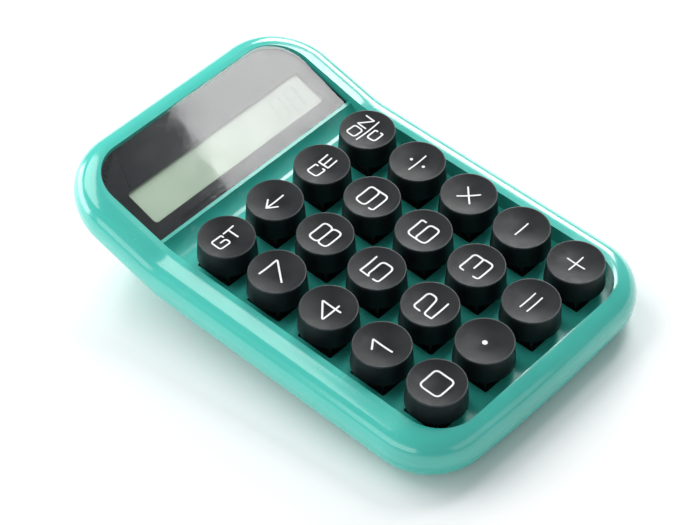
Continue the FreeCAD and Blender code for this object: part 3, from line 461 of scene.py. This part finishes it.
def inked(name, strokes, frame_matrix, surface, finish, top=0.07, bottom=0.06):
    """A piece made of strokes: (points, width, corner radius, closed), in millimetres."""
    mesh = bmesh.new()
    for i, (points, width, corner, closed) in enumerate(strokes):
        path = polyline(points, corner, closed)
        cuts = sections(path, width / 2.0, closed)
        add_stroke(mesh, cuts, closed, surface, top + 0.004 * i, bottom)
    bmesh.ops.recalc_face_normals(mesh, faces=mesh.faces)
    data = bpy.data.meshes.new(name)
    mesh.to_mesh(data)
    mesh.free()
    piece = bpy.data.objects.new(name, data)
    piece.matrix_world = frame_matrix
    bpy.context.scene.collection.objects.link(piece)
    data.materials.append(finish.material)
    return piece


# ---------------------------------------------------------------- key legends

BOLD = 0.74
FINE = 0.60
TURN = 2.1


def loop(left, right, low, high, width=BOLD, corner=TURN):
    return ([(left, low), (right, low), (right, high), (left, high)], width, corner, True)


def line(*points, width=BOLD, corner=0.05):
    return (list(points), width, corner, False)


def bar(left, right, y, width=FINE):
    return line((left, y), (right, y), width=width)


def square_dot(x, y, size):
    return ([(x, y - 0.01), (x, y + 0.01)], size, 0.01, False)


def small_c(left, right, low, high):
    return line((right, high - 1.15), (right, high), (left, high), (left, low), (right, low),
                (right, low + 1.15), width=FINE + 0.08, corner=1.3)


LEGENDS = {
    "zero": [loop(-4.8, 4.8, -4.5, 4.5)],
    "one": [line((-3.7, 1.7), (0.25, 4.6), (0.25, -4.6), corner=0.3)],
    "two": [line((-4.5, 1.2), (-4.5, 4.5), (4.6, 4.5), (4.6, 0.1), (-4.6, -0.9), (-4.6, -3.6),
                 corner=TURN),
            line((-4.6, -3.0), (-4.6, -4.6), (4.8, -4.6), corner=0.1)],
    "three": [line((-4.7, 2.6), (-4.7, 4.6), (4.5, 4.6), (4.5, 0.3), (3.0, 0.3), (-1.0, 0.3),
                   corner=1.9),
              line((3.0, 0.3), (4.7, 0.3), (4.7, -4.6), (-4.7, -4.6), (-4.7, -2.3), corner=1.9)],
    "four": [line((3.5, -1.9), (-5.6, -1.9), (1.6, 4.6), (1.6, -4.4), corner=0.4)],
    "five": [line((4.7, 4.4), (-4.4, 4.4), (-4.4, 0.3), corner=0.1),
             line((-4.4, 0.3), (-3.2, 1.2), (4.7, 1.2), (4.7, -4.5), (-4.5, -4.5), (-4.5, -2.1),
                  corner=TURN)],
    "six": [line((4.4, 2.6), (4.4, 4.5), (-4.6, 4.5), (-4.6, -1.9), corner=TURN),
            loop(-4.6, 4.6, -4.5, 0.6, corner=1.9)],
    "seven": [line((-4.8, 4.5), (4.9, 4.5), (-2.2, -4.5), corner=0.5)],
    "eight": [loop(-4.7, 4.7, 0.0, 4.5, corner=1.9), loop(-4.7, 4.7, -4.5, 0.0, corner=1.9)],
    "nine": [loop(-4.7, 4.7, -0.2, 4.6, corner=1.9),
             line((4.7, 2.2), (4.7, -4.5), (-4.7, -4.5), (-4.7, -2.6), corner=TURN)],
    "point": [square_dot(0.1, 0.1, 2.1)],
    "equals": [bar(-4.4, 4.4, 1.65), bar(-4.4, 4.4, -1.65)],
    "plus": [bar(-4.2, 4.2, 0.0), line((0.0, -4.0), (0.0, 4.0), width=FINE)],
    "minus": [bar(-3.8, 3.8, 0.0)],
    "multiply": [line((-3.2, 3.1), (3.2, -3.1), width=FINE + 0.08),
                 line((-3.2, -3.1), (3.2, 3.1), width=FINE + 0.08)],
    "divide": [bar(-5.0, 5.0, 0.0), square_dot(0.0, 3.1, 1.25), square_dot(0.0, -3.1, 1.25)],
    "backspace": [line((4.4, 0.0), (-4.9, 0.0), width=FINE + 0.08),
                  line((-1.2, 2.7), (-4.9, 0.0), (-1.2, -2.7), width=FINE + 0.08)],
    "grand_total": [line((-0.4, 1.5), (-0.4, 2.6), (-5.8, 2.6), (-5.8, -2.5), (-0.4, -2.5),
                         (-0.4, 0.1), (-3.2, 0.1), width=FINE + 0.08, corner=1.1),
                    line((0.9, 2.6), (6.0, 2.6), width=FINE + 0.08),
                    line((3.45, 2.6), (3.45, -2.5), width=FINE + 0.08)],
    "clear_entry": [small_c(-6.0, -0.9, -2.5, 2.5),
                    line((5.7, 2.4), (0.8, 2.4), (0.8, -2.5), (5.7, -2.5), width=FINE + 0.08),
                    line((0.8, 0.0), (5.4, 0.0), width=FINE + 0.08)],
    "on_clear": [loop(-6.1, -0.8, 1.7, 5.9, width=FINE + 0.05, corner=1.3),
                 line((0.7, 1.7), (0.7, 5.9), (5.9, 1.7), (5.9, 5.9), width=FINE + 0.05,
                      corner=0.1),
                 bar(-6.6, 6.6, -0.1),
                 small_c(-2.6, 2.6, -6.0, -1.9)],
}

legend_ink = moulded("white_legend_ink", (0.80, 0.82, 0.82), 0.42, mottle=0.04,
                     depth=0.000003)

for key_name in KEY_NAMES:
    legend = inked("legend_" + key_name, LEGENDS[key_name], key_frame(key_name), dish_height,
                   legend_ink)
    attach(legend, "key_" + key_name)


# ---------------------------------------------------------------- digits on the crystal

DISPLAY_TILT = DECK_TILT + math.radians(18.2)
DIGIT_HALF_WIDTH = 2.5
DIGIT_HALF_HEIGHT = 5.2
DIGIT_SLANT = 0.14
DIGIT_PLACES = (30.4, 38.6)


def crystal_frame():
    """Axes on the crystal's upper face: +Y up the sloping glass, +Z out of it."""
    low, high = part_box("lcd_glass")
    span = high - low
    cosine = math.cos(DISPLAY_TILT)
    sine = math.sin(DISPLAY_TILT)
    thickness = (span.z * cosine - span.y * sine) / math.cos(2.0 * DISPLAY_TILT)
    outward = Vector((0.0, -sine, cosine))
    centre = (low + high) / 2.0 + outward * thickness / 2.0
    return Matrix.Translation(centre) @ Matrix.Rotation(DISPLAY_TILT, 4, "X")


def flat(x, y):
    """A surface without any relief, for inked()."""
    return 0.0


def digit_segments(middle):
    """The seven unlit segments of one slanted digit, as strokes."""
    inset = 0.75
    levels = (-DIGIT_HALF_HEIGHT, 0.0, DIGIT_HALF_HEIGHT)
    ends = [((-DIGIT_HALF_WIDTH + inset, y), (DIGIT_HALF_WIDTH - inset, y)) for y in levels]
    for x in (-DIGIT_HALF_WIDTH, DIGIT_HALF_WIDTH):
        for low, high in zip(levels, levels[1:]):
            ends.append(((x, low + inset), (x, high - inset)))
    return [line(*[(middle + x + DIGIT_SLANT * y, y) for x, y in pair], width=0.95)
            for pair in ends]


segment_ink = moulded("unlit_segments", (0.28, 0.32, 0.27), 0.38, mottle=0.04, depth=0.000001)
segments = []
for middle in DIGIT_PLACES:
    segments += digit_segments(middle)
digits = inked("unlit_digits", segments, crystal_frame(), flat, segment_ink, top=0.01,
               bottom=0.01)
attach(digits, "case")


# ---------------------------------------------------------------- arrow on the battery door

def door_frame():
    """Axes on the door's lower face: +Y towards the rear, +Z down to the desk."""
    low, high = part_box("battery_door")
    centre = Vector(((low.x + high.x) / 2.0, (low.y + high.y) / 2.0, low.z))
    return Matrix.Translation(centre) @ Matrix.Rotation(math.pi, 4, "Y")


arrow_ink = moulded("white_arrow_ink", (0.72, 0.76, 0.75), 0.5, mottle=0.06, depth=0.000003)
arrow = inked("door_arrow", [line((0.0, -6.0), (0.0, 6.0), width=1.0),
                             line((-3.4, 2.6), (0.0, 6.0), (3.4, 2.6), width=1.0)],
              door_frame(), flat, arrow_ink)
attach(arrow, "battery_door")


# ---------------------------------------------------------------- floor, lights and camera

def plain_floor():
    half = 6.0
    data = bpy.data.meshes.new("floor")
    corners = [(-half, -half, 0.0), (half, -half, 0.0), (half, half, 0.0), (-half, half, 0.0)]
    data.from_pydata(corners, [], [(0, 1, 2, 3)])
    floor = bpy.data.objects.new("floor", data)
    bpy.context.scene.collection.objects.link(floor)
    finish = Finish("pale_floor")
    tone = finish.noise(0.4, 2.0)
    finish.feed("Base Color", finish.blend(tone, (0.92, 0.925, 0.93), (0.94, 0.945, 0.95)))
    finish.feed("Roughness", 0.6)
    data.materials.append(finish.material)


def softbox(name, spot, target, width, height, radiance):
    """A rectangular soft light that faces a point; radiance is its brightness as seen."""
    light = bpy.data.lights.new(name, "AREA")
    light.shape = "RECTANGLE"
    light.size = width
    light.size_y = height
    light.energy = radiance * math.pi * width * height
    thing = bpy.data.objects.new(name, light)
    thing.location = spot
    thing.rotation_euler = (Vector(target) - Vector(spot)).to_track_quat("-Z", "Y").to_euler()
    bpy.context.scene.collection.objects.link(thing)


def studio():
    world = bpy.data.worlds.new("studio")
    world.use_nodes = True
    sky = world.node_tree.nodes["Background"].inputs
    sky["Color"].default_value = (0.96, 0.98, 1.0, 1.0)
    sky["Strength"].default_value = 0.35
    bpy.context.scene.world = world
    softbox("key_lamp", (0.79, 0.10, 1.05), (0.79, 0.10, 0.0), 0.50, 0.32, 10.0)
    softbox("rear_sheet", (-0.22, 0.88, 1.05), (-0.22, 0.88, 0.0), 1.05, 1.05, 3.4)
    softbox("right_sheet", (1.30, 0.66, 0.72), (0.0, 0.0, 0.03), 0.9, 0.6, 9.0)
    softbox("left_strip", (-1.30, -0.05, 0.45), (0.0, 0.0, 0.03), 1.2, 0.5, 2.0)
    softbox("front_strip", (0.20, -1.40, 0.45), (0.0, 0.0, 0.03), 1.2, 0.5, 0.8)
    softbox("backdrop", (-0.75, 1.55, 0.40), (0.0, 0.0, 0.03), 1.8, 0.7, 5.0)
    bpy.context.scene.view_settings.view_transform = "Standard"


def photo_camera():
    """The photograph's view: high from the front left, rolled, with a long lens."""
    data = bpy.data.cameras.new("camera")
    data.lens = 113.1
    data.sensor_width = 36.0
    data.clip_start = 0.01
    camera = bpy.data.objects.new("camera", data)
    right = Vector((0.67687, -0.73283, -0.06927)).normalized()
    back = Vector((-0.49821, -0.52537, 0.68976)).normalized()
    up = back.cross(right).normalized()
    turn = Matrix((right, up, back)).transposed().to_4x4()
    camera.matrix_world = Matrix.Translation((-0.4279, -0.4494, 0.6045)) @ turn
    bpy.context.scene.collection.objects.link(camera)
    bpy.context.scene.camera = camera


plain_floor()
studio()
photo_camera()
